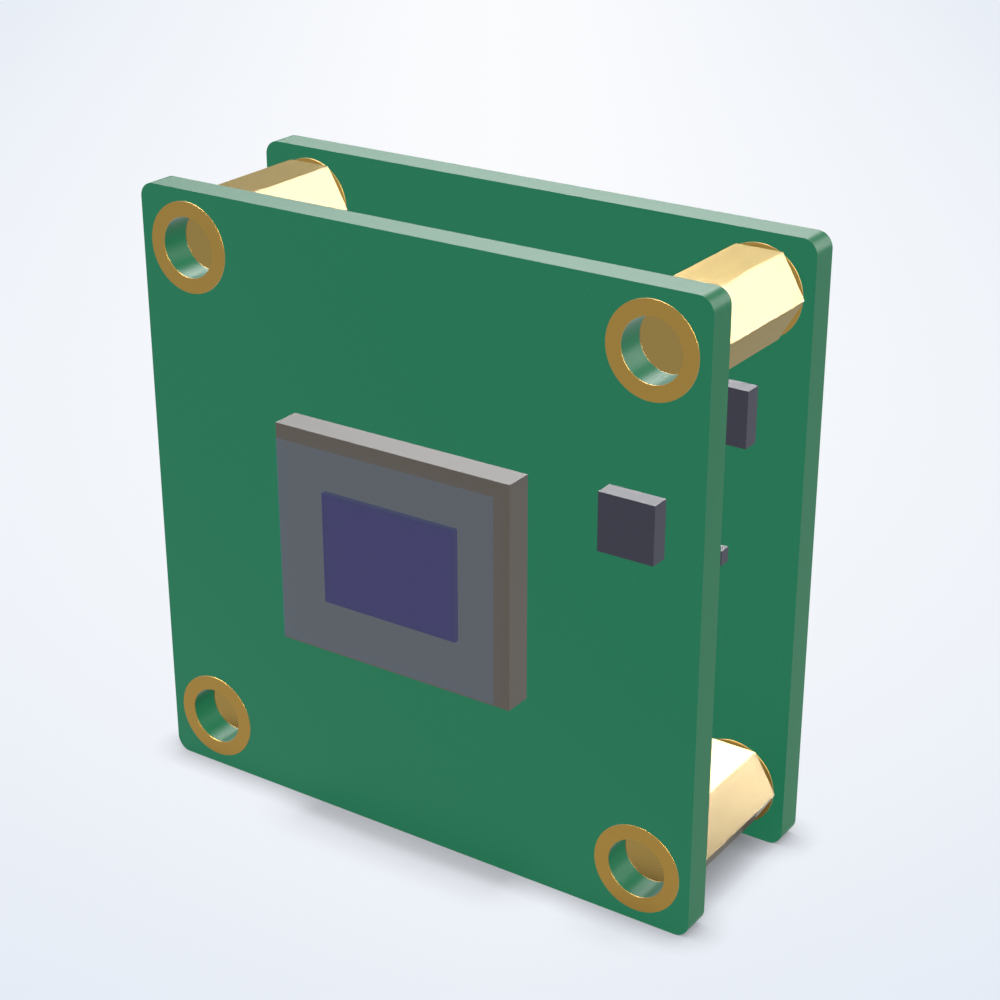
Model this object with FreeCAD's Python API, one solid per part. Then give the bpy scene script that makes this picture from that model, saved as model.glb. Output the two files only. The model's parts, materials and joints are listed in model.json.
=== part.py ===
import FreeCAD, Part
import math
import os

# Board-level camera module: a sensor board and a processor board, stacked on four brass standoffs.
# X runs to the right as seen from the front, Y runs from front to back, and Z is up.
# The origin is on the optical axis, at the centre of the sensor board's front face.
# All sizes are in millimetres.

# Boards: both have the same outline and the same four holes
board_side = 33.0
board_thickness = 1.6
board_corner_radius = 0.8
hole_diameter = 3.2
pad_ring_width = 0.8
pad_edge_margin = 0.6
pad_thickness = 0.05

# Standoffs: hexagonal, closed at the front, tapped from the rear
standoff_length = 8.2
standoff_across_corners = 5.0
thread_core_diameter = 2.05
closed_end_thickness = 2.2
drill_point_angle = 118.0
mouth_chamfer = 0.2

# Image sensor: ceramic package, bare die on its face, pocketed cover glass over the die
package_width = 14.0
package_height = 12.0
package_thickness = 1.54
die_width = 8.0
die_height = 6.0
die_thickness = 0.30
glass_rim_inset = 0.5
glass_pane_thickness = 0.30
glass_bond_line = 0.03
die_side_clearance = 0.5
die_face_clearance = 0.04

# Small square chips in view from the front, placed from the right edge of their board
chip_side = 3.0
chip_thickness = 1.0
front_chip_edge_gap = 2.03
front_chip_rise = 5.1
rear_chip_edge_gap = 2.7
rear_chip_rise = 7.27
diode_length = 1.6
diode_width = 0.8
diode_thickness = 0.7
diode_edge_gap = 3.9
diode_drop = 0.55

# Board-to-board link in the gap: pin header on the front board, socket on the rear board
link_pitch = 1.27
link_columns = 10
link_row_spacing = 1.27
link_pin_side = 0.4
link_pin_fit = 0.02
link_end_wall = 0.55
link_side_wall = 0.9
link_drop = 3.0
link_foot_length = 0.9
link_foot_thickness = 0.2
link_foot_clearance = 0.03
link_socket_height = 4.4
link_mate_gap = 0.1
link_pin_reach = 2.8
link_slot_clearance = 0.12
link_slot_floor = 0.6
link_contact_thickness = 0.15

# Cable header on the back of the rear board: open shroud with a row of pins
cable_pitch = 1.25
cable_ways = 5
cable_pin_side = 0.4
cable_pin_fit = 0.02
cable_end_space = 1.1
cable_side_space = 1.15
cable_wall = 0.6
cable_floor = 1.1
cable_shroud_height = 4.2
cable_pin_height = 3.4
cable_pin_foot_reach = 0.9
cable_foot_thickness = 0.2
cable_edge_gap = 2.2
cable_key_width = 1.6
cable_key_depth = 2.2
cable_tab_width = 1.2
cable_tab_reach = 0.9

# Image processor: square moulded body with flush terminals round its foot
processor_side = 9.0
processor_thickness = 0.9
processor_left = 3.0
processor_rise = 1.5
terminal_pitch = 0.5
terminals_per_side = 15
terminal_width = 0.25
terminal_length = 0.4
terminal_height = 0.2

# Round moulded marks in one corner of the two largest chips
mark_radius = 0.35
mark_depth = 0.04
mark_inset = 0.9

# Program memory: moulded body with eight gull-wing leads
memory_length = 4.9
memory_width = 3.9
memory_thickness = 1.4
memory_standing_gap = 0.15
memory_gap_to_processor = 3.4
memory_rise = 3.2
lead_pitch = 1.27
leads_per_side = 4
lead_width = 0.41
lead_thickness = 0.2
lead_reach = 1.05
lead_foot = 0.55
lead_exit_height = 0.75

# Clock oscillator: ceramic base with a metal lid
clock_length = 3.2
clock_width = 2.5
clock_base_thickness = 0.6
clock_lid_thickness = 0.25
clock_lid_margin = 0.25
clock_gap_to_processor = 2.0

# Power inductor: moulded block with chamfered top edges
inductor_side = 4.0
inductor_thickness = 1.8
inductor_chamfer = 0.3
inductor_gap_below_memory = 2.3
inductor_terminal_width = 2.6
inductor_terminal_height = 0.7
inductor_terminal_thickness = 0.2

# Chip capacitors and resistors
capacitor_length = 1.6
capacitor_width = 0.8
capacitor_thickness = 0.8
capacitor_edge_radius = 0.08
resistor_thickness = 0.45
row_pitch = 3.0
capacitor_gap = 1.2

# How closely an edge has to lie in a plane, or along a direction in degrees, to be picked
same_plane = 1e-6
same_direction_angle = 2.5

# Places that follow from the sizes above
half_side = board_side / 2
pad_radius = hole_diameter / 2 + pad_ring_width
hole_offset = half_side - pad_edge_margin - pad_radius
gap = standoff_length + 2 * pad_thickness
front_back_y = board_thickness
rear_front_y = front_back_y + gap
rear_back_y = rear_front_y + board_thickness
corners = {
    "top_left": (-hole_offset, hole_offset),
    "top_right": (hole_offset, hole_offset),
    "bottom_left": (-hole_offset, -hole_offset),
    "bottom_right": (hole_offset, -hole_offset),
}
link_z = -link_drop
link_length = (link_columns - 1) * link_pitch + link_pin_side + 2 * link_end_wall
link_width = link_row_spacing + link_pin_side + 2 * link_side_wall
link_column_x = [(i - (link_columns - 1) / 2) * link_pitch for i in range(link_columns)]
cable_pin_x = [(i - (cable_ways - 1) / 2) * cable_pitch for i in range(cable_ways)]
cable_length = (cable_ways - 1) * cable_pitch + cable_pin_side + 2 * (cable_end_space + cable_wall)
cable_width = cable_pin_side + 2 * (cable_side_space + cable_wall)
cable_z = -half_side + cable_edge_gap + cable_width / 2
processor_right_x = processor_side / 2 - processor_left
memory_x = processor_right_x + memory_gap_to_processor + memory_width / 2

parts = {}


def vector(x, y, z):
    return FreeCAD.Vector(x, y, z)


def block(x_low, x_high, y_low, y_high, z_low, z_high):
    size = (x_high - x_low, y_high - y_low, z_high - z_low)
    return Part.makeBox(*size, vector(x_low, y_low, z_low))


def centred_block(x, z, length, y_low, thickness, height):
    """A block that stands on the plane y_low, centred at x and z."""
    return block(
        x - length / 2, x + length / 2, y_low, y_low + thickness, z - height / 2, z + height / 2
    )


def rod(x, z, radius, y_low, y_high):
    return Part.makeCylinder(radius, y_high - y_low, vector(x, y_low, z), vector(0, 1, 0))


def edges_along(shape, axis):
    """The straight edges of a shape that run along a row axis."""
    found = []
    for edge in shape.Edges:
        run = edge.Vertexes[-1].Point - edge.Vertexes[0].Point
        if run.Length > same_plane:
            angle = math.degrees(run.getAngle(axis))
            if min(angle, 180 - angle) < same_direction_angle:
                found.append(edge)
    return found


def board(y_low):
    """A square board with rounded corners and a plain hole in each corner."""
    plate = centred_block(0, 0, board_side, y_low, board_thickness, board_side)
    plate = plate.makeFillet(board_corner_radius, edges_along(plate, vector(0, 1, 0)))
    for x, z in corners.values():
        plate = plate.cut(rod(x, z, hole_diameter / 2, y_low, y_low + board_thickness))
    return plate


def ring_pad(x, z, y_low):
    """A flat plated ring that surrounds one hole."""
    disc = rod(x, z, pad_radius, y_low, y_low + pad_thickness)
    return disc.cut(rod(x, z, hole_diameter / 2, y_low, y_low + pad_thickness))


def cone(x, z, radius_low, radius_high, y_low, y_high):
    return Part.makeCone(
        radius_low, radius_high, y_high - y_low, vector(x, y_low, z), vector(0, 1, 0)
    )


def standoff(x, z):
    """A hexagonal standoff with flats at top and bottom and a blind tapping bore from the rear."""
    y_low = front_back_y + pad_thickness
    y_high = y_low + standoff_length
    radius = standoff_across_corners / 2
    angles = [math.radians(60 * i) for i in range(7)]
    points = [vector(x + radius * math.cos(a), y_low, z + radius * math.sin(a)) for a in angles]
    body = Part.Face(Part.makePolygon(points)).extrude(vector(0, standoff_length, 0))
    core_radius = thread_core_diameter / 2
    bore_floor = y_low + closed_end_thickness
    point_length = core_radius / math.tan(math.radians(drill_point_angle / 2))
    bore = rod(x, z, core_radius, bore_floor, y_high)
    drill_point = cone(x, z, 0, core_radius, bore_floor - point_length, bore_floor)
    mouth = cone(x, z, core_radius, core_radius + mouth_chamfer, y_high - mouth_chamfer, y_high)
    return body.cut(bore.fuse([drill_point, mouth]))


def make_boards():
    parts["front_board"] = board(0)
    parts["rear_board"] = board(rear_front_y)
    pad_planes = {
        "front_board_front_pad": -pad_thickness,
        "front_board_back_pad": front_back_y,
        "rear_board_front_pad": rear_front_y - pad_thickness,
        "rear_board_back_pad": rear_back_y,
    }
    for name, y_low in pad_planes.items():
        for corner, (x, z) in corners.items():
            parts[name + "_" + corner] = ring_pad(x, z, y_low)
    for corner, (x, z) in corners.items():
        parts["standoff_" + corner] = standoff(x, z)


def make_sensor():
    """The package stands on the board, the die on the package, and the glass covers the die."""
    package_face = -package_thickness
    parts["sensor_package"] = centred_block(
        0, 0, package_width, package_face, package_thickness, package_height
    )
    parts["sensor_die"] = centred_block(
        0, 0, die_width, package_face - die_thickness, die_thickness, die_height
    )
    pocket_depth = die_thickness + die_face_clearance - glass_bond_line
    glass_thickness = pocket_depth + glass_pane_thickness
    glass_back = package_face - glass_bond_line
    glass = centred_block(
        0,
        0,
        package_width - 2 * glass_rim_inset,
        glass_back - glass_thickness,
        glass_thickness,
        package_height - 2 * glass_rim_inset,
    )
    pocket = centred_block(
        0,
        0,
        die_width + 2 * die_side_clearance,
        glass_back - pocket_depth,
        pocket_depth,
        die_height + 2 * die_side_clearance,
    )
    parts["sensor_cover_glass"] = glass.cut(pocket)


def make_visible_chips():
    """The small parts that the front view shows, on the front faces of both boards."""
    front_x = half_side - front_chip_edge_gap - chip_side / 2
    parts["sensor_regulator"] = centred_block(
        front_x, front_chip_rise, chip_side, -chip_thickness, chip_thickness, chip_side
    )
    rear_x = half_side - rear_chip_edge_gap - chip_side / 2
    parts["power_controller"] = centred_block(
        rear_x, rear_chip_rise, chip_side, rear_front_y - chip_thickness, chip_thickness, chip_side
    )
    diode_x = half_side - diode_edge_gap - diode_length / 2
    parts["protection_diode"] = centred_block(
        diode_x,
        -diode_drop,
        diode_length,
        rear_front_y - diode_thickness,
        diode_thickness,
        diode_width,
    )


def make_link():
    """Header on the front board and socket on the rear board, mated with a small gap between them."""
    header_low = front_back_y + link_foot_thickness + link_foot_clearance
    socket_high = rear_front_y - link_foot_thickness - link_foot_clearance
    socket_low = socket_high - link_socket_height
    header_high = socket_low - link_mate_gap
    header = centred_block(0, link_z, link_length, header_low, header_high - header_low, link_width)
    socket = centred_block(0, link_z, link_length, socket_low, link_socket_height, link_width)
    pins = []
    contacts = []
    hole_side = link_pin_side + 2 * link_pin_fit
    slot_side = link_pin_side + 2 * (link_slot_clearance + link_contact_thickness)
    slot_depth = link_socket_height - link_slot_floor
    pin_length = header_high + link_pin_reach - front_back_y
    for x in link_column_x:
        for side in (-1, 1):
            z = link_z + side * link_row_spacing / 2
            foot_tip = link_z + side * (link_width / 2 + link_foot_length)
            foot_low, foot_high = sorted((z, foot_tip))
            pin = centred_block(x, z, link_pin_side, front_back_y, pin_length, link_pin_side)
            half_pin = link_pin_side / 2
            header_foot_top = front_back_y + link_foot_thickness
            foot = block(x - half_pin, x + half_pin, front_back_y, header_foot_top, foot_low, foot_high)
            pins.append(pin.fuse(foot).removeSplitter())
            header = header.cut(
                centred_block(x, z, hole_side, header_low, header_high - header_low, hole_side)
            )
            slot = centred_block(x, z, slot_side, socket_low, slot_depth, slot_side)
            leaf_z = z + side * (link_pin_side / 2 + link_slot_clearance + link_contact_thickness / 2)
            leaf_hole = centred_block(
                x,
                leaf_z,
                hole_side,
                socket_low + slot_depth,
                link_slot_floor,
                link_contact_thickness + 2 * link_pin_fit,
            )
            socket = socket.cut(slot).cut(leaf_hole)
            leaf = centred_block(
                x,
                leaf_z,
                link_pin_side,
                socket_low + link_mate_gap,
                rear_front_y - socket_low - link_mate_gap,
                link_contact_thickness,
            )
            tail_low, tail_high = sorted((leaf_z, foot_tip))
            tail_front = rear_front_y - link_foot_thickness
            tail = block(x - half_pin, x + half_pin, tail_front, rear_front_y, tail_low, tail_high)
            contacts.append(leaf.fuse(tail).removeSplitter())
    parts["link_header_insulator"] = header
    parts["link_header_pins"] = Part.makeCompound(pins)
    parts["link_socket_housing"] = socket
    parts["link_socket_contacts"] = Part.makeCompound(contacts)


def make_cable_header():
    """Open shroud with five pins, a keyway at the bottom and a solder tab at each end."""
    shroud_high = rear_back_y + cable_shroud_height
    housing = centred_block(0, cable_z, cable_length, rear_back_y, cable_shroud_height, cable_width)
    cavity_floor = rear_back_y + cable_floor
    cavity = centred_block(
        0,
        cable_z,
        cable_length - 2 * cable_wall,
        cavity_floor,
        shroud_high - cavity_floor,
        cable_width - 2 * cable_wall,
    )
    key = centred_block(
        0,
        cable_z - cable_width / 2 + cable_wall / 2,
        cable_key_width,
        shroud_high - cable_key_depth,
        cable_key_depth,
        cable_wall,
    )
    housing = housing.cut(cavity).cut(key)
    top_z = cable_z + cable_width / 2
    groove_side = cable_pin_side + 2 * cable_pin_fit
    groove_height = cable_foot_thickness + cable_pin_fit
    pins = []
    for x in cable_pin_x:
        pin = centred_block(x, cable_z, cable_pin_side, rear_back_y, cable_pin_height, cable_pin_side)
        half_pin = cable_pin_side / 2
        foot = block(
            x - half_pin,
            x + half_pin,
            rear_back_y,
            rear_back_y + cable_foot_thickness,
            cable_z,
            top_z + cable_pin_foot_reach,
        )
        pins.append(pin.fuse(foot).removeSplitter())
        hole = centred_block(x, cable_z, groove_side, rear_back_y, cable_floor, groove_side)
        groove = block(
            x - groove_side / 2,
            x + groove_side / 2,
            rear_back_y,
            rear_back_y + groove_height,
            cable_z,
            top_z,
        )
        housing = housing.cut(hole).cut(groove)
    tabs = []
    for side in (-1, 1):
        end_x = side * cable_length / 2
        low_x, high_x = sorted((end_x, end_x + side * cable_tab_reach))
        plate = block(
            low_x,
            high_x,
            rear_back_y,
            rear_back_y + cable_foot_thickness,
            cable_z - cable_tab_width / 2,
            cable_z + cable_tab_width / 2,
        )
        low_x, high_x = sorted((end_x, end_x + side * cable_foot_thickness))
        upright = block(
            low_x,
            high_x,
            rear_back_y,
            rear_back_y + cable_shroud_height / 2,
            cable_z - cable_tab_width / 2,
            cable_z + cable_tab_width / 2,
        )
        tabs.append(plate.fuse(upright).removeSplitter())
    parts["cable_header_housing"] = housing
    parts["cable_header_pins"] = Part.makeCompound(pins)
    parts["cable_header_tabs"] = Part.makeCompound(tabs)


def corner_mark(x_edge, z_edge, top_y):
    """The shallow round hollow that marks a chip's first terminal, measured from a corner."""
    x = x_edge - mark_inset
    z = z_edge - mark_inset
    return rod(x, z, mark_radius, top_y - mark_depth, top_y)


def make_processor():
    """A square moulded body whose terminals lie flush in the foot of its four sides."""
    x = -processor_left
    body = centred_block(
        x, processor_rise, processor_side, rear_back_y, processor_thickness, processor_side
    )
    terminals = []
    half = processor_side / 2
    for i in range(terminals_per_side):
        along = (i - (terminals_per_side - 1) / 2) * terminal_pitch
        inward = half - terminal_length / 2
        for side in (-1, 1):
            terminals.append(
                centred_block(
                    x + along,
                    processor_rise + side * inward,
                    terminal_width,
                    rear_back_y,
                    terminal_height,
                    terminal_length,
                )
            )
            terminals.append(
                centred_block(
                    x + side * inward,
                    processor_rise + along,
                    terminal_length,
                    rear_back_y,
                    terminal_height,
                    terminal_width,
                )
            )
    group = Part.makeCompound(terminals)
    mark = corner_mark(x + half, processor_rise + half, rear_back_y + processor_thickness)
    parts["image_processor"] = body.cut(group).cut(mark)
    parts["image_processor_terminals"] = group


def gull_wing_lead(x_body, side, z):
    """One bent lead: out of the body's side, down to the board and out along it."""
    t = lead_thickness
    exit_y = rear_back_y + lead_exit_height
    shoulder = x_body + side * (lead_reach - lead_foot)
    tip = x_body + side * lead_reach
    outline = [
        (x_body, exit_y),
        (x_body, exit_y + t),
        (shoulder, exit_y + t),
        (shoulder + side * t, rear_back_y + t),
        (tip, rear_back_y + t),
        (tip, rear_back_y),
        (shoulder, rear_back_y),
        (shoulder - side * t, exit_y),
    ]
    points = [vector(x, y, z - lead_width / 2) for x, y in outline]
    face = Part.Face(Part.makePolygon(points + points[:1]))
    return face.extrude(vector(0, 0, lead_width))


def make_memory():
    """A moulded body with leads along its left and right sides."""
    body_low = rear_back_y + memory_standing_gap
    body = centred_block(
        memory_x, memory_rise, memory_width, body_low, memory_thickness, memory_length
    )
    mark = corner_mark(
        memory_x + memory_width / 2, memory_rise + memory_length / 2, body_low + memory_thickness
    )
    parts["program_memory"] = body.cut(mark)
    leads = []
    for i in range(leads_per_side):
        z = memory_rise + (i - (leads_per_side - 1) / 2) * lead_pitch
        for side in (-1, 1):
            leads.append(gull_wing_lead(memory_x + side * memory_width / 2, side, z))
    parts["program_memory_leads"] = Part.makeCompound(leads)


def make_clock():
    x = -processor_left - processor_side / 2 - clock_gap_to_processor - clock_width / 2
    parts["clock_base"] = centred_block(
        x, processor_rise, clock_width, rear_back_y, clock_base_thickness, clock_length
    )
    parts["clock_lid"] = centred_block(
        x,
        processor_rise,
        clock_width - 2 * clock_lid_margin,
        rear_back_y + clock_base_thickness,
        clock_lid_thickness,
        clock_length - 2 * clock_lid_margin,
    )


def make_inductor():
    z = memory_rise - memory_length / 2 - inductor_gap_below_memory - inductor_side / 2
    body = centred_block(
        memory_x, z, inductor_side, rear_back_y, inductor_thickness, inductor_side
    )
    top_y = rear_back_y + inductor_thickness
    rim = [e for e in body.Edges if abs(e.BoundBox.YMin - top_y) < same_plane]
    inward = (inductor_side - inductor_terminal_thickness) / 2
    terminals = Part.makeCompound(
        [
            centred_block(
                memory_x,
                z + side * inward,
                inductor_terminal_width,
                rear_back_y,
                inductor_terminal_height,
                inductor_terminal_thickness,
            )
            for side in (-1, 1)
        ]
    )
    parts["power_inductor"] = body.makeChamfer(inductor_chamfer, rim).cut(terminals)
    parts["power_inductor_terminals"] = terminals


def chip_passive(x, z, board_face, outward, thickness, upright):
    """A small two-ended component on a board face. outward is +1 or -1 along Y."""
    length, height = capacitor_length, capacitor_width
    if upright:
        length, height = height, length
    y_low = board_face if outward > 0 else board_face - thickness
    body = centred_block(x, z, length, y_low, thickness, height)
    return body.makeFillet(capacitor_edge_radius, body.Edges)


def make_passives():
    """Capacitors by the parts that they serve, and two resistors by the cable header."""
    link_top = link_z + link_width / 2 + link_foot_length
    sensor_row_z = link_top + capacitor_gap + capacitor_width / 2
    for i, x in enumerate((-row_pitch, 0, row_pitch), start=1):
        parts["sensor_capacitor_%d" % i] = chip_passive(
            x, sensor_row_z, front_back_y, 1, capacitor_thickness, False
        )
    processor_foot = processor_rise - processor_side / 2
    processor_row_z = processor_foot - capacitor_gap - capacitor_length / 2
    for i in range(3):
        x = -processor_left + (i - 1) * row_pitch
        parts["processor_capacitor_%d" % (i + 1)] = chip_passive(
            x, processor_row_z, rear_back_y, 1, capacitor_thickness, True
        )
    controller_left = half_side - rear_chip_edge_gap - chip_side
    controller_x = controller_left - capacitor_gap - capacitor_width / 2
    parts["controller_capacitor"] = chip_passive(
        controller_x, rear_chip_rise, rear_front_y, -1, capacitor_thickness, True
    )
    memory_top = memory_rise + memory_length / 2
    parts["memory_capacitor"] = chip_passive(
        memory_x, memory_top + capacitor_gap, rear_back_y, 1, capacitor_thickness, False
    )
    cable_right = cable_length / 2 + cable_tab_reach
    for i in range(2):
        z = cable_z + cable_width / 2 + cable_pin_foot_reach - i * 2 * capacitor_width
        parts["cable_resistor_%d" % (i + 1)] = chip_passive(
            -cable_right - capacitor_gap - capacitor_length / 2,
            z,
            rear_back_y,
            1,
            resistor_thickness,
            False,
        )


make_boards()
make_sensor()
make_visible_chips()
make_link()
make_cable_header()
make_processor()
make_memory()
make_clock()
make_inductor()
make_passives()

os.makedirs("parts", exist_ok=True)
for name, shape in parts.items():
    shape.exportStep("parts/" + name + ".step")
print(len(parts), "parts written")
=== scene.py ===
import json
import math

import bpy
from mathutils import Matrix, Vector


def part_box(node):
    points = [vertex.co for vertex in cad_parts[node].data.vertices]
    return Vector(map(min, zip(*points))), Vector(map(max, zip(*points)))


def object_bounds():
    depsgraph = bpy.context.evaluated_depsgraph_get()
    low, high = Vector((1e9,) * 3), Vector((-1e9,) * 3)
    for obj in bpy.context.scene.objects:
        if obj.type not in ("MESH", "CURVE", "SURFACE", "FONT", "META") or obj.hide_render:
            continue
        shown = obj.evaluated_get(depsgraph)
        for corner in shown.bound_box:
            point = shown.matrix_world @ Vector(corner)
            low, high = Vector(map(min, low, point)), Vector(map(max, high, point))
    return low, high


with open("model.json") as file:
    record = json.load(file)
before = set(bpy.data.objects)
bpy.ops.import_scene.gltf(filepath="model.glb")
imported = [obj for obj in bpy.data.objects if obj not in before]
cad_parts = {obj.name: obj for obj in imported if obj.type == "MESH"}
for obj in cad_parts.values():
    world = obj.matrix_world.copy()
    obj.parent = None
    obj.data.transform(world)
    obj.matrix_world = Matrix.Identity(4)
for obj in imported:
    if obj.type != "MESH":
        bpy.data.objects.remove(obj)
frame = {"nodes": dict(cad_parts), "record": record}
cad_low, cad_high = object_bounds()

# Board-level camera module: a sensor board and a processor board on four brass standoffs.
# X runs to the right as seen from the front, Y runs from front to back, and Z is up.
# Lengths named here are in millimetres, and the scene itself is in metres.
MM = 0.001
TURN = 2 * math.pi

# Camera: where the photograph was taken from, worked out from the corners of the boards
CAMERA_PLACE = (57.984, -78.015, 46.206)
CAMERA_AZIMUTH = 33.969
CAMERA_ELEVATION = 24.017
CAMERA_LENS = 77.80
CAMERA_SENSOR_WIDTH = 36.0
CAMERA_NEAR = 5.0
CAMERA_FAR = 5000.0

# Surroundings: the colour of the backdrop, and the level of the soft light from all round
BACKDROP_COLOUR = "#E2E9F4"
FILL_LEVEL = 0.15

# The boards' corner holes, which the finishes of the pads and the standoffs follow
HOLE_OFFSET = 13.5
HOLE_RADIUS = 1.6


def linear(hex_colour):
    """The linear values of an sRGB colour that is written as hex, and a full alpha."""
    channels = []
    for start in (1, 3, 5):
        value = int(hex_colour[start : start + 2], 16) / 255
        channels.append(value / 12.92 if value <= 0.04045 else ((value + 0.055) / 1.055) ** 2.4)
    return (*channels, 1.0)


def add_node(tree, kind, inputs=None, **settings):
    """Adds a node. settings are its own properties. inputs gives its sockets plain values, or
    the outputs or nodes that they are linked to. A node given so is linked by its first output.
    A mix of numbers has them in 2 and 3. A mix of colours has them in 6 and 7 and comes out of
    output 2."""
    made = tree.nodes.new(kind)
    for name, value in settings.items():
        setattr(made, name, value)
    for socket, value in (inputs or {}).items():
        if isinstance(value, bpy.types.Node):
            value = value.outputs[0]
        if isinstance(value, bpy.types.NodeSocket):
            tree.links.new(value, made.inputs[socket])
        else:
            made.inputs[socket].default_value = value
    return made


def new_material(name):
    """A material with no nodes yet, and its tree."""
    material = bpy.data.materials.new(name)
    material.use_nodes = True
    material.node_tree.nodes.clear()
    return material, material.node_tree


def finish_surface(tree, colour, sockets, relief=None, depth=0.0):
    """Ends a material with its one shader: its colour, what its other sockets hold, and fine
    relief, whose depth is in millimetres."""
    inputs = {"Base Color": colour, **sockets}
    if relief is not None:
        bump = {"Height": relief, "Distance": depth * MM}
        inputs["Normal"] = add_node(tree, "ShaderNodeBump", bump)
    shader = add_node(tree, "ShaderNodeBsdfPrincipled", inputs)
    add_node(tree, "ShaderNodeOutputMaterial", {"Surface": shader})


def place_in_mm(tree):
    """The place on the object in millimetres, in the frame that all pieces share."""
    place = add_node(tree, "ShaderNodeTexCoord").outputs["Object"]
    scale = {0: place, 1: (1 / MM, 1 / MM, 1 / MM)}
    return add_node(tree, "ShaderNodeVectorMath", scale, operation="MULTIPLY").outputs[0]


def grain(tree, place, size, detail=2.0, stretch=(1, 1, 1)):
    """Noise whose lumps are about size across, in millimetres. stretch lengthens them by axis."""
    scale = {0: place, 1: tuple(1 / (size * s) for s in stretch)}
    scaled = add_node(tree, "ShaderNodeVectorMath", scale, operation="MULTIPLY")
    noise = {"Vector": scaled, "Scale": 1.0, "Detail": detail}
    return add_node(tree, "ShaderNodeTexNoise", noise).outputs["Fac"]


def waves(tree, value, pitch):
    """A smooth wave from -1 to 1 along a value, with a pitch in millimetres."""
    angle = add_node(tree, "ShaderNodeMath", {0: value, 1: TURN / pitch}, operation="MULTIPLY")
    return add_node(tree, "ShaderNodeMath", {0: angle}, operation="SINE")


def tinted(tree, hex_colour, share, value):
    """A colour made up to that share darker or lighter by a value that runs from 0 to 1."""
    ends = {"Value": value, "From Min": 0.0, "From Max": 1.0, "To Min": 1 - share, "To Max": 1 + share}
    factor = add_node(tree, "ShaderNodeMapRange", ends)
    both = {0: linear(hex_colour)[:3], 1: factor}
    return add_node(tree, "ShaderNodeVectorMath", both, operation="MULTIPLY").outputs[0]


def faces_along(tree, axis):
    """1 on faces that look along an axis, either way, and 0 on the rest."""
    nearly_along = 0.7
    normal = add_node(tree, "ShaderNodeNewGeometry").outputs["True Normal"]
    part = add_node(tree, "ShaderNodeSeparateXYZ", {0: normal}).outputs[axis]
    either_way = add_node(tree, "ShaderNodeMath", {0: part}, operation="ABSOLUTE")
    return add_node(tree, "ShaderNodeMath", {0: either_way, 1: nearly_along}, operation="GREATER_THAN")


def distance_from_holes(tree, place):
    """How far a place is, in millimetres, from the axis of the corner hole nearest to it."""
    folded = add_node(tree, "ShaderNodeVectorMath", {0: place}, operation="ABSOLUTE")
    axes = {0: folded, 1: (HOLE_OFFSET, 0, HOLE_OFFSET)}
    from_axis = add_node(tree, "ShaderNodeVectorMath", axes, operation="SUBTRACT")
    radial = add_node(tree, "ShaderNodeVectorMath", {0: from_axis, 1: (1, 0, 1)}, operation="MULTIPLY")
    return add_node(tree, "ShaderNodeVectorMath", {0: radial}, operation="LENGTH").outputs["Value"]


# The finishes. The grain of most is really some thousandths of a millimetre across, too fine to
# show. It is drawn at 0.06 to 0.15 mm, as coarse as it needs to be.


def solder_mask_material():
    """Green solder mask, a screened and cured lacquer over woven glass laminate. The lacquer is
    satin and level, with a trace of the weave showing through. The routed edges and the hole
    walls show the layers of the laminate under a thin coat of the same green."""
    weave_pitch = 0.5
    weave_relief = 0.35
    layer_pitch = 0.2
    layer_relief = 0.25
    material, tree = new_material("solder_mask_on_glass_laminate")
    place = place_in_mm(tree)
    across = add_node(tree, "ShaderNodeSeparateXYZ", {0: place}).outputs
    threads = {0: waves(tree, across["X"], weave_pitch), 1: waves(tree, across["Z"], weave_pitch)}
    crossed = add_node(tree, "ShaderNodeMath", threads, operation="MULTIPLY")
    weave = add_node(tree, "ShaderNodeMath", {0: crossed, 1: 0.5, 2: 0.5}, operation="MULTIPLY_ADD")
    lacquer = grain(tree, place, size=0.25)
    over_weave = {0: weave, 1: weave_relief, 2: lacquer}
    face_relief = add_node(tree, "ShaderNodeMath", over_weave, operation="MULTIPLY_ADD")
    fibre = grain(tree, place, size=0.12, stretch=(4, 0.5, 4))
    in_layers = {0: waves(tree, across["Y"], layer_pitch), 1: layer_relief, 2: fibre}
    edge_relief = add_node(tree, "ShaderNodeMath", in_layers, operation="MULTIPLY_ADD")
    on_face = faces_along(tree, "Y")
    edge = tinted(tree, "#04693F", share=0.05, value=edge_relief)
    face = tinted(tree, "#1B704E", share=0.03, value=face_relief)
    green = add_node(tree, "ShaderNodeMix", {0: on_face, 6: edge, 7: face}, data_type="RGBA")
    relief = add_node(tree, "ShaderNodeMix", {0: on_face, 2: edge_relief, 3: face_relief})
    sockets = {"Roughness": 0.38, "Specular IOR Level": 0.22}
    finish_surface(tree, green.outputs[2], sockets, relief, depth=0.0015)
    return material


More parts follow.
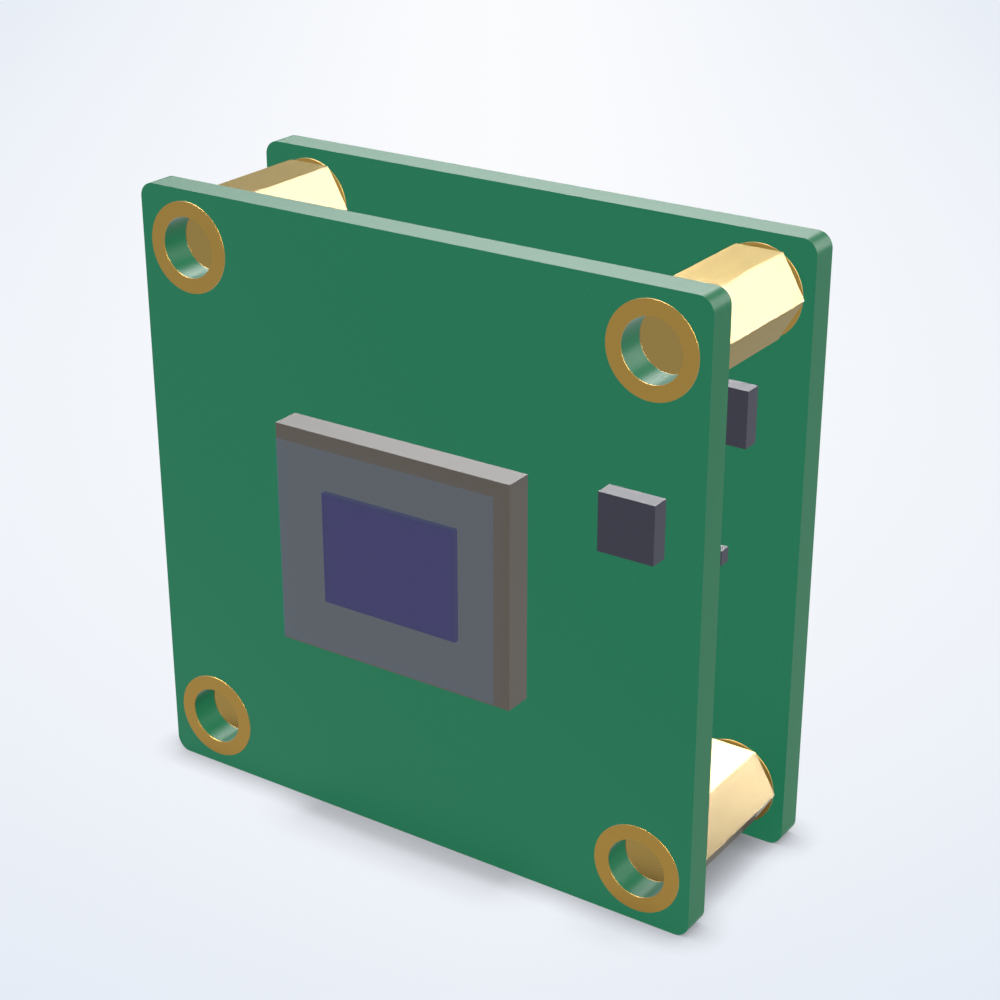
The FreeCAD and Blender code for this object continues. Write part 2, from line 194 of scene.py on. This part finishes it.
def gold_plate_material():
    """Immersion gold over etched copper: a satin metal with the fine grain of the etch. On the pads
    behind the first face, the cut edge inside the hole carries painted shade, a darker brown in place of
    the plate."""
    cut_edge = 0.02
    first_face = 0.0
    material, tree = new_material("immersion_gold_plate")
    place = place_in_mm(tree)
    etch = grain(tree, place, size=0.09, detail=3.0)
    from_axis = {0: distance_from_holes(tree, place), 1: HOLE_RADIUS + cut_edge}
    inside = add_node(tree, "ShaderNodeMath", from_axis, operation="LESS_THAN")
    depth = add_node(tree, "ShaderNodeSeparateXYZ", {0: place}).outputs["Y"]
    behind = add_node(tree, "ShaderNodeMath", {0: depth, 1: first_face}, operation="GREATER_THAN")
    # painted shade: the cut edges of the pads inside the holes behind the first face are darkened to
    # brown
    shaded_in_hole = add_node(tree, "ShaderNodeMath", {0: inside, 1: behind}, operation="MULTIPLY")
    plate = tinted(tree, "#A9853F", share=0.05, value=etch)
    hole_shade = tinted(tree, "#7A6230", share=0.05, value=etch)
    gold = add_node(tree, "ShaderNodeMix", {0: shaded_in_hole, 6: plate, 7: hole_shade}, data_type="RGBA")
    sockets = {"Metallic": 1.0, "Roughness": 0.36}
    finish_surface(tree, gold.outputs[2], sockets, etch, depth=0.003)
    return material


def brass_material():
    """Free-cutting brass, cold drawn as a hexagon and left to dull: satin, with drawing lines
    along the flats. The turned ends are yellower, with fine rings."""
    ring_pitch = 0.16
    ring_relief = 0.4
    material, tree = new_material("drawn_brass")
    place = place_in_mm(tree)
    drawing = grain(tree, place, size=0.12, detail=3.0, stretch=(1, 40, 1))
    turned = {0: waves(tree, distance_from_holes(tree, place), ring_pitch), 1: 0.5, 2: 0.5}
    rings = add_node(tree, "ShaderNodeMath", turned, operation="MULTIPLY_ADD")
    on_end = faces_along(tree, "Y")
    end_relief = add_node(tree, "ShaderNodeMath", {0: rings, 1: ring_relief}, operation="MULTIPLY")
    relief = add_node(tree, "ShaderNodeMix", {0: on_end, 2: drawing, 3: end_relief})
    flats = tinted(tree, "#9D8B69", share=0.04, value=drawing)
    ends = tinted(tree, "#A18447", share=0.03, value=rings)
    brass = add_node(tree, "ShaderNodeMix", {0: on_end, 6: flats, 7: ends}, data_type="RGBA")
    sockets = {"Metallic": 1.0, "Roughness": 0.18, "Specular Tint": linear("#D2C9AE")}
    finish_surface(tree, brass.outputs[2], sockets, relief, depth=0.002)
    return material


def package_ceramic_material():
    """Dark alumina, pressed and fired: matt, with a fine even grain."""
    material, tree = new_material("fired_dark_alumina")
    fired = grain(tree, place_in_mm(tree), size=0.10, detail=4.0)
    colour = tinted(tree, "#585149", share=0.05, value=fired)
    sockets = {"Roughness": 0.36, "Specular IOR Level": 0.25}
    finish_surface(tree, colour, sockets, fired, depth=0.003)
    return material


def silicon_material():
    """A sensor die: polished silicon whose pixel field has a violet cast from its colour filters,
    with a plain darker strip of circuitry round it."""
    pixel_half_width = 3.6
    pixel_half_height = 2.7
    material, tree = new_material("silicon_with_colour_filters")
    place = place_in_mm(tree)
    across = add_node(tree, "ShaderNodeSeparateXYZ", {0: place}).outputs
    field = faces_along(tree, "Y")
    for axis, half_side in (("X", pixel_half_width), ("Z", pixel_half_height)):
        from_middle = add_node(tree, "ShaderNodeMath", {0: across[axis]}, operation="ABSOLUTE")
        inside = add_node(tree, "ShaderNodeMath", {0: from_middle, 1: half_side}, operation="LESS_THAN")
        field = add_node(tree, "ShaderNodeMath", {0: field, 1: inside}, operation="MULTIPLY")
    filters = grain(tree, place, size=0.5)
    strip = tinted(tree, "#391751", share=0.04, value=filters)
    pixels = tinted(tree, "#3B1655", share=0.05, value=filters)
    violet = add_node(tree, "ShaderNodeMix", {0: field, 6: strip, 7: pixels}, data_type="RGBA")
    finish_surface(tree, violet.outputs[2], {"Roughness": 0.3, "Specular IOR Level": 0.05})
    return material


def cover_glass_material():
    """Cover glass with a thin blue filter coating on its outer face, bloomed so that it mirrors
    little. Its ground sides show only faintly, and the faces towards the die are clear."""
    coating_strength = 0.25
    side_strength = 0.04
    rim = 0.01
    low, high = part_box("sensor_cover_glass")
    material, tree = new_material("coated_cover_glass")
    place = place_in_mm(tree)
    coating = tinted(tree, "#587A97", share=0.02, value=grain(tree, place, size=3.0))
    depth = add_node(tree, "ShaderNodeSeparateXYZ", {0: place}).outputs["Y"]
    at_front = {0: depth, 1: low.y / MM + rim}
    coated = add_node(tree, "ShaderNodeMath", at_front, operation="LESS_THAN")
    folded = add_node(tree, "ShaderNodeVectorMath", {0: place}, operation="ABSOLUTE")
    sides = {0: folded, 1: (high.x / MM - rim, 0, high.z / MM - rim)}
    from_sides = add_node(tree, "ShaderNodeVectorMath", sides, operation="SUBTRACT")
    past = add_node(tree, "ShaderNodeSeparateXYZ", {0: from_sides}).outputs
    furthest = add_node(tree, "ShaderNodeMath", {0: past["X"], 1: past["Z"]}, operation="MAXIMUM")
    on_side = add_node(tree, "ShaderNodeMath", {0: furthest, 1: 0.0}, operation="GREATER_THAN")
    side = add_node(tree, "ShaderNodeMath", {0: on_side, 1: side_strength}, operation="MULTIPLY")
    strength = {0: coated, 1: coating_strength, 2: side}
    alpha = add_node(tree, "ShaderNodeMath", strength, operation="MULTIPLY_ADD")
    sockets = {"Roughness": 0.06, "Specular IOR Level": 0.05, "Alpha": alpha}
    finish_surface(tree, coating, sockets)
    return material


def moulding_material():
    """Epoxy moulding compound, as chips are potted in: dark blue-grey, matt from a spark-eroded
    mould."""
    material, tree = new_material("epoxy_moulding_compound")
    eroded = grain(tree, place_in_mm(tree), size=0.08, detail=3.0)
    colour = tinted(tree, "#383843", share=0.06, value=eroded)
    sockets = {"Roughness": 0.28, "Specular IOR Level": 0.16}
    finish_surface(tree, colour, sockets, eroded, depth=0.002)
    return material


def connector_plastic_material():
    """Black liquid crystal polymer, glass filled and moulded: satin, with faint flow streaks."""
    material, tree = new_material("glass_filled_black_polymer")
    flow = grain(tree, place_in_mm(tree), size=0.15, detail=3.0, stretch=(6, 1, 1))
    colour = tinted(tree, "#202124", share=0.12, value=flow)
    finish_surface(tree, colour, {"Roughness": 0.45}, flow, depth=0.004)
    return material


def gold_contact_material():
    """Phosphor bronze with flash gold: a smooth yellow metal."""
    material, tree = new_material("flash_gold_contact")
    rolled = grain(tree, place_in_mm(tree), size=0.08, stretch=(1, 12, 1))
    colour = tinted(tree, "#E3BE6A", share=0.05, value=rolled)
    finish_surface(tree, colour, {"Metallic": 1.0, "Roughness": 0.28}, rolled, depth=0.001)
    return material


def nylon_material():
    """Natural nylon, injection moulded: creamy white, satin and slightly mottled."""
    material, tree = new_material("natural_nylon")
    place = place_in_mm(tree)
    mottle = grain(tree, place, size=0.6, detail=3.0)
    colour = tinted(tree, "#E9E3D2", share=0.04, value=mottle)
    sockets = {"Roughness": 0.42, "Subsurface Weight": 0.15, "Subsurface Radius": (1.0, 0.9, 0.7)}
    sockets["Subsurface Scale"] = 0.4 * MM
    finish_surface(tree, colour, sockets, grain(tree, place, size=0.09), depth=0.003)
    return material


def tin_material():
    """Matt tin plate over copper alloy: a soft grey metal with the fine crystals of the bath."""
    material, tree = new_material("matt_tin_plate")
    crystals = grain(tree, place_in_mm(tree), size=0.07, detail=3.0)
    colour = tinted(tree, "#CBCCCE", share=0.06, value=crystals)
    finish_surface(tree, colour, {"Metallic": 1.0, "Roughness": 0.4}, crystals, depth=0.002)
    return material


def clock_ceramic_material():
    """Pale alumina, the fired base of the clock: matt, almost white."""
    material, tree = new_material("fired_pale_alumina")
    fired = grain(tree, place_in_mm(tree), size=0.08, detail=4.0)
    colour = tinted(tree, "#CFC8B8", share=0.05, value=fired)
    finish_surface(tree, colour, {"Roughness": 0.55}, fired, depth=0.003)
    return material


def nickel_material():
    """A rolled lid of nickel-plated iron alloy: bright, with fine rolling lines."""
    material, tree = new_material("rolled_nickel_lid")
    rolling = grain(tree, place_in_mm(tree), size=0.06, detail=3.0, stretch=(1, 1, 30))
    colour = tinted(tree, "#D8D2C6", share=0.05, value=rolling)
    finish_surface(tree, colour, {"Metallic": 1.0, "Roughness": 0.3}, rolling, depth=0.002)
    return material


def inductor_material():
    """Pressed iron powder in resin: dull dark grey, with a speckle of metal grains."""
    material, tree = new_material("pressed_iron_powder")
    powder = grain(tree, place_in_mm(tree), size=0.07, detail=4.0)
    colour = tinted(tree, "#4B4B4D", share=0.22, value=powder)
    finish_surface(tree, colour, {"Roughness": 0.6}, powder, depth=0.006)
    return material


def chip_ended_material(name, side_colour, face_colour, axis):
    """A small two-ended part: a fired ceramic body with matt tin caps on its ends. axis is the
    way it lies. Its front and back may have another colour than its sides."""
    cap_share = 0.2
    material, tree = new_material(name)
    share = add_node(tree, "ShaderNodeTexCoord").outputs["Generated"]
    along = add_node(tree, "ShaderNodeSeparateXYZ", {0: share}).outputs[axis]
    to_middle = add_node(tree, "ShaderNodeMath", {0: along, 1: 0.5}, operation="SUBTRACT")
    from_middle = add_node(tree, "ShaderNodeMath", {0: to_middle}, operation="ABSOLUTE")
    past_body = {0: from_middle, 1: 0.5 - cap_share}
    on_cap = add_node(tree, "ShaderNodeMath", past_body, operation="GREATER_THAN")
    fired = grain(tree, place_in_mm(tree), size=0.07, detail=3.0)
    side = tinted(tree, side_colour, share=0.05, value=fired)
    face = tinted(tree, face_colour, share=0.05, value=fired)
    cap = tinted(tree, "#C4C5C7", share=0.06, value=fired)
    faced = {0: faces_along(tree, "Y"), 6: side, 7: face}
    body = add_node(tree, "ShaderNodeMix", faced, data_type="RGBA").outputs[2]
    whole = add_node(tree, "ShaderNodeMix", {0: on_cap, 6: body, 7: cap}, data_type="RGBA")
    sockets = {"Roughness": 0.4, "Metallic": on_cap}
    finish_surface(tree, whole.outputs[2], sockets, fired, depth=0.002)
    return material


def dress_nodes():
    """Gives each node the finish that its record names. The small two-ended parts have one
    finish for each way that they lie."""
    finishes = {
        "solder_mask_board": solder_mask_material(),
        "gold_plated_pad": gold_plate_material(),
        "brass_standoff": brass_material(),
        "sensor_ceramic": package_ceramic_material(),
        "sensor_silicon": silicon_material(),
        "cover_glass": cover_glass_material(),
        "chip_moulding": moulding_material(),
        "black_connector_plastic": connector_plastic_material(),
        "gold_flashed_contact": gold_contact_material(),
        "pale_connector_nylon": nylon_material(),
        "tinned_lead": tin_material(),
        "clock_ceramic": clock_ceramic_material(),
        "nickel_lid": nickel_material(),
        "inductor_moulding": inductor_material(),
    }
    two_ended = {"capacitor_ceramic": ("#A58A68", "#A58A68"), "resistor_ceramic": ("#E6E2D8", "#1D1D20")}
    for finish, (side_colour, face_colour) in two_ended.items():
        for axis in ("X", "Z"):
            name = finish + "_along_" + axis.lower()
            finishes[finish + axis] = chip_ended_material(name, side_colour, face_colour, axis)
    for row in frame["record"]["subparts"]:
        finish = row["material_slot"]
        if finish in two_ended:
            low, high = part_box(row["node"])
            size = high - low
            finish += "X" if size.x > size.z else "Z"
        for slot in frame["nodes"][row["node"]].material_slots:
            slot.material = finishes[finish]


def make_camera():
    """The photograph's camera."""
    data = bpy.data.cameras.new("photo_camera")
    data.lens = CAMERA_LENS
    data.sensor_width = CAMERA_SENSOR_WIDTH
    data.clip_start = CAMERA_NEAR * MM
    data.clip_end = CAMERA_FAR * MM
    camera = bpy.data.objects.new("photo_camera", data)
    camera.location = Vector(CAMERA_PLACE) * MM
    tilt = math.radians(90 - CAMERA_ELEVATION)
    camera.rotation_euler = (tilt, 0, math.radians(CAMERA_AZIMUTH))
    bpy.context.scene.collection.objects.link(camera)
    bpy.context.scene.camera = camera


def is_looked_at(tree):
    """1 where the camera sees a thing, straight on or in gloss or glass, and 0 for soft light."""
    paths = add_node(tree, "ShaderNodeLightPath").outputs
    both = {0: paths["Is Glossy Ray"], 1: paths["Is Transmission Ray"]}
    mirrored = add_node(tree, "ShaderNodeMath", both, operation="MAXIMUM")
    seen = {0: paths["Is Camera Ray"], 1: mirrored}
    return add_node(tree, "ShaderNodeMath", seen, operation="MAXIMUM")


def floor_colour(tree):
    """The floor's colour: a painted pool of light, which fades evenly towards its sides and fast towards
    its ends, and a painted contact shadow from ambient occlusion in the narrow gap under and beside what
    stands there."""
    pool_colour = "#FBFCFE"
    pool_centre = (-144.0, 222.0)
    pool_half_width = 92.0
    pool_half_length = 294.0
    side_falloff = 1.16
    end_falloff = 7.6
    contact_shade_reach = 1.8
    contact_shade_strength = 0.8
    turned = {
        "Vector": place_in_mm(tree),
        "Location": (*pool_centre, cad_low.z / MM),
        "Rotation": (0, 0, math.radians(CAMERA_AZIMUTH)),
        "Scale": (pool_half_width, pool_half_length, 1),
    }
    # painted pool of light: the floor's colour fades from the pool colour to the backdrop colour
    pool = add_node(tree, "ShaderNodeMapping", turned, vector_type="TEXTURE")
    folded = add_node(tree, "ShaderNodeVectorMath", {0: pool}, operation="ABSOLUTE")
    out = add_node(tree, "ShaderNodeSeparateXYZ", {0: folded}).outputs
    to_side = add_node(tree, "ShaderNodeMath", {0: out["X"], 1: side_falloff}, operation="POWER")
    to_end = add_node(tree, "ShaderNodeMath", {0: out["Y"], 1: end_falloff}, operation="POWER")
    outwards = add_node(tree, "ShaderNodeMath", {0: to_side, 1: to_end}, operation="ADD")
    faded = add_node(tree, "ShaderNodeMath", {0: outwards, 1: 1.0}, operation="MINIMUM")
    ends = {0: faded, 6: linear(pool_colour), 7: linear(BACKDROP_COLOUR)}
    lit = add_node(tree, "ShaderNodeMix", ends, data_type="RGBA").outputs[2]
    # painted shadow: ambient occlusion darkens the floor's colour under and beside the object
    contact = {"Color": lit, "Distance": contact_shade_reach * MM}
    contact_shaded = add_node(tree, "ShaderNodeAmbientOcclusion", contact, samples=4).outputs["Color"]
    with_contact_shade = {0: contact_shade_strength, 6: lit, 7: contact_shaded}
    return add_node(tree, "ShaderNodeMix", with_contact_shade, data_type="RGBA").outputs[2]


def make_floor():
    """A pale floor, with a painted pool of light and a painted contact shadow in its colour. Looked at,
    and in gloss and glass, it shows that colour, and a little of that is emitted free of shadow. It
    throws less light back up at the object."""
    half_side = 1500.0
    unshadowed_share = 0.12
    bounced_colour = "#8C8E92"
    mesh = bpy.data.meshes.new("floor")
    reach = half_side * MM
    corners = [(-reach, -reach), (reach, -reach), (reach, reach), (-reach, reach)]
    mesh.from_pydata([(x, y, cad_low.z) for x, y in corners], [], [(0, 1, 2, 3)])
    floor = bpy.data.objects.new("floor", mesh)
    bpy.context.scene.collection.objects.link(floor)
    material, tree = new_material("pale_studio_floor")
    colour = floor_colour(tree)
    shaded = add_node(tree, "ShaderNodeBsdfDiffuse", {"Color": colour})
    plain = add_node(tree, "ShaderNodeEmission", {"Color": colour, "Strength": 1.0})
    seen = add_node(tree, "ShaderNodeMixShader", {0: unshadowed_share, 1: shaded, 2: plain})
    bounced = add_node(tree, "ShaderNodeBsdfDiffuse", {"Color": linear(bounced_colour)})
    surface = add_node(tree, "ShaderNodeMixShader", {0: is_looked_at(tree), 1: bounced, 2: seen})
    add_node(tree, "ShaderNodeOutputMaterial", {"Surface": surface})
    mesh.materials.append(material)
    return floor


def make_world():
    """Even pale surroundings: a pale backdrop to see, and a little soft light from all round."""
    world = bpy.data.worlds.new("plain_studio")
    world.use_nodes = True
    tree = world.node_tree
    tree.nodes.clear()
    fill = {"Color": linear("#FFFFFF"), "Strength": FILL_LEVEL}
    soft = add_node(tree, "ShaderNodeBackground", fill)
    backdrop = {"Color": linear(BACKDROP_COLOUR), "Strength": 1.0}
    seen = add_node(tree, "ShaderNodeBackground", backdrop)
    sky = add_node(tree, "ShaderNodeMixShader", {0: is_looked_at(tree), 1: soft, 2: seen})
    add_node(tree, "ShaderNodeOutputWorld", {"Surface": sky})
    bpy.context.scene.world = world


def make_lamp(name, azimuth, elevation, level, spread, lit, blockers):
    """A far softbox. azimuth is the way it stands round the object, 0 in front and 90 on the
    right, and spread is the angle across it. level is what a white face square to it shows.
    It lights what is in lit, and what is in blockers stops it."""
    data = bpy.data.lights.new(name, "SUN")
    data.energy = level * math.pi
    data.angle = math.radians(spread)
    data.cycles.use_multiple_importance_sampling = False
    lamp = bpy.data.objects.new(name, data)
    lamp.rotation_euler = (math.radians(90 - elevation), 0, math.radians(azimuth))
    bpy.context.scene.collection.objects.link(lamp)
    lamp.light_linking.receiver_collection = lit
    lamp.light_linking.blocker_collection = blockers


def keep_pieces_apart_in_light():
    """Leaves each piece out of the others' bounced and mirrored light, as in the photograph,
    where no piece darkens, tints or mirrors the next."""
    for piece in frame["nodes"].values():
        piece.visible_diffuse = False
        piece.visible_glossy = False


def make_lamps(floor):
    """Softboxes for the object and two over the floor. Nothing on the object stops the one in
    front, and the boards and standoffs don't stop the two behind, so that the space between the
    boards is lit as evenly as the rest. Of the two over the floor, the pieces on the boards stop
    the narrow one, and the lower standoffs stop the wide one."""
    unshaded = {"solder_mask_board", "gold_plated_pad", "brass_standoff"}
    ground = bpy.data.collections.new("floor_only")
    ground.objects.link(floor)
    pieces = bpy.data.collections.new("object_only")
    small_pieces = bpy.data.collections.new("pieces_on_the_boards")
    lower_standoffs = bpy.data.collections.new("lower_standoffs")
    for row in frame["record"]["subparts"]:
        piece = frame["nodes"][row["node"]]
        pieces.objects.link(piece)
        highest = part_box(row["node"])[1].z
        if row["material_slot"] not in unshaded:
            small_pieces.objects.link(piece)
        elif row["material_slot"] == "brass_standoff" and highest < 0:
            lower_standoffs.objects.link(piece)
    make_lamp(
        "front_softbox", azimuth=CAMERA_AZIMUTH, elevation=CAMERA_ELEVATION, level=0.98, spread=12,
        lit=pieces, blockers=ground,
    )
    make_lamp(
        "back_softbox", azimuth=210, elevation=37, level=0.66, spread=34.5,
        lit=pieces, blockers=small_pieces,
    )
    make_lamp(
        "side_softbox", azimuth=154, elevation=15, level=0.43, spread=36,
        lit=pieces, blockers=small_pieces,
    )
    for name, spread, blockers in (
        ("floor_softbox", 12, small_pieces),
        ("wide_floor_softbox", 50, lower_standoffs),
    ):
        make_lamp(
            name, azimuth=0, elevation=90, level=(1 - FILL_LEVEL) / 2, spread=spread,
            lit=ground, blockers=blockers,
        )


def show_colours_as_written():
    """Shows colours with no tone mapping."""
    bpy.context.scene.view_settings.view_transform = "Standard"


dress_nodes()
make_camera()
make_world()
keep_pieces_apart_in_light()
make_lamps(make_floor())
show_colours_as_written()
